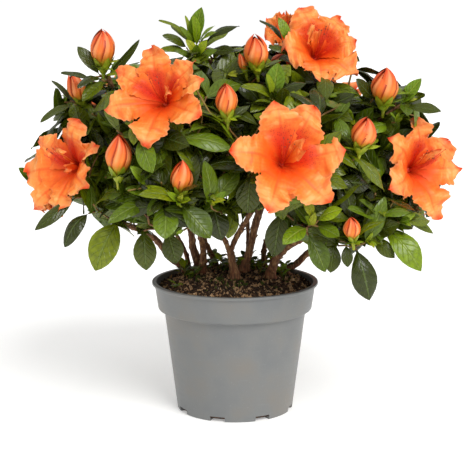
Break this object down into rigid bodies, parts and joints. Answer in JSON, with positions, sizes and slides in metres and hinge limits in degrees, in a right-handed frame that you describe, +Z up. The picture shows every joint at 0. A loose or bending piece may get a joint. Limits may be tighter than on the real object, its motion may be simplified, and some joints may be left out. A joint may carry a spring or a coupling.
{
  "type": "potted azalea shrub",
  "caption": "Low flowering azalea shrub with fanned woody stems, a broad domed crown of glossy leaves, orange blooms and buds, rooted in soil in a round tapered pot.",
  "frame": {"origin": "centre of the pot's flat underside", "axes": "+Z up, the crown's broad front faces -Y, its width runs along X"},
  "size_m": [0.3191, 0.2518, 0.2919],
  "materials": {
    "pot": "satin grey injection-moulded polypropylene",
    "soil": "moist dark peat potting mix with bark and pale grit",
    "bark": "reddish-brown young bark, finely cracked",
    "foliage": "glossy dark green leaves, with salmon-orange blooms and buds"
  },
  "bodies": {
    "root": {"pot": "pot", "soil": "soil", "stem_left_outer": "bark", "stem_left_back_thin": "bark", "stem_left_thick": "bark", "stem_left_inner": "bark", "stem_middle_back": "bark", "stem_centre": "bark", "stem_tall": "bark", "stem_back_thin": "bark", "stem_right_inner": "bark", "stem_right_outer": "bark", "stem_right_back": "bark", "bough_centre_left": "bark", "bough_centre_right": "bark", "bough_right_inner": "bark", "foliage_top": "foliage", "foliage_upper_right": "foliage", "foliage_upper_left": "foliage", "foliage_right_shoulder": "foliage", "foliage_front_left": "foliage", "foliage_front_right": "foliage", "foliage_left": "foliage", "foliage_right": "foliage", "foliage_lower_left": "foliage", "foliage_lower_front": "foliage", "foliage_lower_right": "foliage", "foliage_back_top": "foliage", "foliage_back_left": "foliage", "foliage_back_right": "foliage", "foliage_back": "foliage"}
  },
  "joints": []
}
